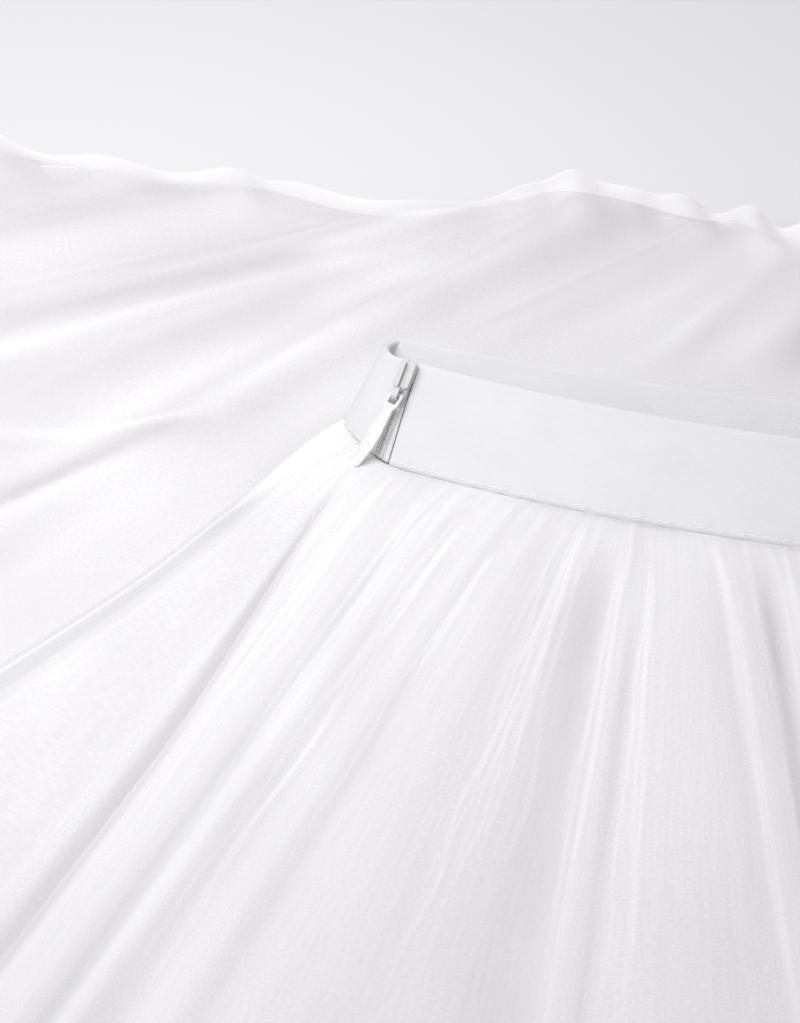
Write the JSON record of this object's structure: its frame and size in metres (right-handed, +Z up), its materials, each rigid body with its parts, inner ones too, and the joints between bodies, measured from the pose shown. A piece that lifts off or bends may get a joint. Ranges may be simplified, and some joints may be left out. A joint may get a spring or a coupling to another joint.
{
  "type": "tulle midi skirt, folded",
  "caption": "White gathered tulle midi skirt with a smooth waistband and side zip, lying folded with its waist end turned back over its own length.",
  "frame": {"origin": "on the surface it rests on, straight below the middle of the front waist seam", "axes": "+X along the waistband, away from the side with the zip; +Y from the waist seam towards the waist opening and the hem behind it; +Z up"},
  "size_m": [0.9318, 0.5028, 0.0721],
  "materials": {
    "band_cloth": "smooth fine weave",
    "tulle": "fine soft net, gathered",
    "lining": "soft matt",
    "zip_tape": "matt",
    "zip_enamel": "gloss"
  },
  "bodies": {
    "skirt": {"waistband_front": "band_cloth", "waistband_back": "band_cloth", "back_tulle_side": "tulle", "front_tulle": "tulle", "turned_layers": "lining", "back_tulle": "tulle", "lower_layers": "lining", "front_tulle_lower": "tulle", "zip_tape": "zip_tape", "zip_slider": "zip_enamel"},
    "zip_pull": {"zip_pull": "zip_enamel"}
  },
  "joints": [
    {"name": "pull_swing", "type": "hinge", "parent": "skirt", "child": "zip_pull", "pos_m": [-0.15635, 0.04277, 0.06302], "axis": [-0.8965, 0.4372, -0.0718], "range_deg": [0, 150]}
  ]
}
